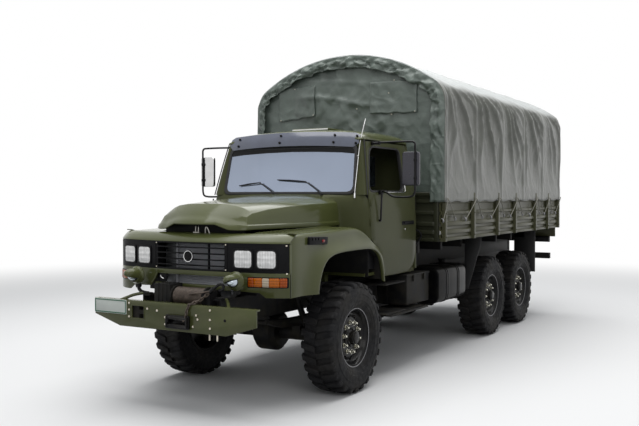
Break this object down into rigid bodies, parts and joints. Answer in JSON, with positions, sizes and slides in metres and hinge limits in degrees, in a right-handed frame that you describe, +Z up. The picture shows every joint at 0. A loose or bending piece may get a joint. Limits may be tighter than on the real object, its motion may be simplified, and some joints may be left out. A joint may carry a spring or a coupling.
{
  "type": "military cargo truck",
  "caption": "Bonneted off-road cargo truck with a rear bogie, single tyres, front winch, hinged cab doors and hood, and an arched canvas canopy over a tall load bed with a drop tailgate.",
  "frame": {"origin": "on the ground under the middle of the truck's overall box", "axes": "+Z up, -Y towards the truck's front, +X towards its left side"},
  "size_m": [2.71, 8.144, 3.4898],
  "materials": {
    "olive_paint": "semi-gloss olive green paint",
    "bed_paint": "satin olive paint",
    "chassis_black": "black chassis paint",
    "gloss_black": "gloss black paint",
    "tyre_rubber": "tread rubber",
    "canvas": "waxed green canvas",
    "clear_glass": "window glass",
    "lamp_glass": "clear lamp lens over a reflector",
    "amber_lens": "amber lens",
    "red_lens": "red lens",
    "black_plastic": "moulded black plastic",
    "tinted_plastic": "dark tinted visor sheet",
    "winch_steel": "dark steel",
    "seat_cloth": "dark seat cover",
    "aluminium_core": "dull finned core"
  },
  "bodies": {
    "chassis": {"front_axle": "chassis_black", "rear_axles": "chassis_black", "leaf_springs": "chassis_black", "frame": "chassis_black", "engine": "chassis_black", "drive_line": "chassis_black", "silencer": "chassis_black", "battery_boxes": "chassis_black", "cab_steps": "chassis_black", "rear_bar": "chassis_black", "radiator": "aluminium_core", "front_bumper": "olive_paint", "front_panel": "olive_paint", "fog_lamps": "olive_paint", "fender_left": "olive_paint", "fender_right": "olive_paint", "cab_floor": "olive_paint", "windshield_frame": "olive_paint", "cab_rear_wall": "olive_paint", "roof": "olive_paint", "rope_rollers": "gloss_black", "winch": "winch_steel", "grille": "black_plastic", "headlamps": "lamp_glass", "turn_signals": "amber_lens", "tail_lamps": "red_lens", "cab_windows": "clear_glass", "sun_visor": "tinted_plastic", "seats": "seat_cloth", "dashboard": "black_plastic", "steering_wheel": "black_plastic", "fuel_tanks": "gloss_black", "mud_guards": "black_plastic", "bed_floor": "bed_paint", "bed_side_left": "bed_paint", "bed_side_right": "bed_paint", "bed_front_board": "bed_paint", "canopy": "canvas", "canopy_bows": "bed_paint"},
    "wheel_front_left": {"tyre_front_left": "tyre_rubber", "rim_front_left": "gloss_black"},
    "wheel_front_right": {"tyre_front_right": "tyre_rubber", "rim_front_right": "gloss_black"},
    "wheel_middle_left": {"tyre_middle_left": "tyre_rubber", "rim_middle_left": "gloss_black"},
    "wheel_middle_right": {"tyre_middle_right": "tyre_rubber", "rim_middle_right": "gloss_black"},
    "wheel_rear_left": {"tyre_rear_left": "tyre_rubber", "rim_rear_left": "gloss_black"},
    "wheel_rear_right": {"tyre_rear_right": "tyre_rubber", "rim_rear_right": "gloss_black"},
    "steering_knuckle_left": {"knuckle_left": "chassis_black"},
    "steering_knuckle_right": {"knuckle_right": "chassis_black"},
    "hood_panel": {"hood": "olive_paint"},
    "cab_door_left": {"door_left": "olive_paint", "mirror_left": "black_plastic"},
    "cab_door_right": {"door_right": "olive_paint", "mirror_right": "black_plastic"},
    "rear_gate": {"tailgate": "bed_paint"}
  },
  "joints": [
    {"name": "steer_left", "type": "hinge", "parent": "chassis", "child": "steering_knuckle_left", "pos_m": [0.73, -2.572, 0.525], "axis": [0, 0, 1], "range_deg": [-28, 28]},
    {"name": "steer_right", "type": "hinge", "parent": "chassis", "child": "steering_knuckle_right", "pos_m": [-0.73, -2.572, 0.525], "axis": [0, 0, 1], "range_deg": [-28, 28]},
    {"name": "wheel_spin_front_left", "type": "hinge", "parent": "steering_knuckle_left", "child": "wheel_front_left", "pos_m": [0.87, -2.572, 0.525], "axis": [1, 0, 0], "continuous": true},
    {"name": "wheel_spin_front_right", "type": "hinge", "parent": "steering_knuckle_right", "child": "wheel_front_right", "pos_m": [-0.87, -2.572, 0.525], "axis": [1, 0, 0], "continuous": true},
    {"name": "wheel_spin_middle_left", "type": "hinge", "parent": "chassis", "child": "wheel_middle_left", "pos_m": [0.87, 1.328, 0.525], "axis": [1, 0, 0], "continuous": true},
    {"name": "wheel_spin_middle_right", "type": "hinge", "parent": "chassis", "child": "wheel_middle_right", "pos_m": [-0.87, 1.328, 0.525], "axis": [1, 0, 0], "continuous": true},
    {"name": "wheel_spin_rear_left", "type": "hinge", "parent": "chassis", "child": "wheel_rear_left", "pos_m": [0.87, 2.593, 0.525], "axis": [1, 0, 0], "continuous": true},
    {"name": "wheel_spin_rear_right", "type": "hinge", "parent": "chassis", "child": "wheel_rear_right", "pos_m": [-0.87, 2.593, 0.525], "axis": [1, 0, 0], "continuous": true},
    {"name": "hood_hinge", "type": "hinge", "parent": "chassis", "child": "hood_panel", "pos_m": [0, -2.272, 1.893], "axis": [-1, 0, 0], "range_deg": [0, 50]},
    {"name": "door_hinge_left", "type": "hinge", "parent": "chassis", "child": "cab_door_left", "pos_m": [0.962, -2.18, 1.7], "axis": [0, 0, -1], "range_deg": [0, 70]},
    {"name": "door_hinge_right", "type": "hinge", "parent": "chassis", "child": "cab_door_right", "pos_m": [-0.962, -2.18, 1.7], "axis": [0, 0, 1], "range_deg": [0, 70]},
    {"name": "tailgate_hinge", "type": "hinge", "parent": "chassis", "child": "rear_gate", "pos_m": [0, 4.054, 1.372], "axis": [-1, 0, 0], "range_deg": [0, 180]}
  ],
  "couplings": [
    {"joint": "steer_right", "follows": "steer_left", "ratio": 1}
  ]
}
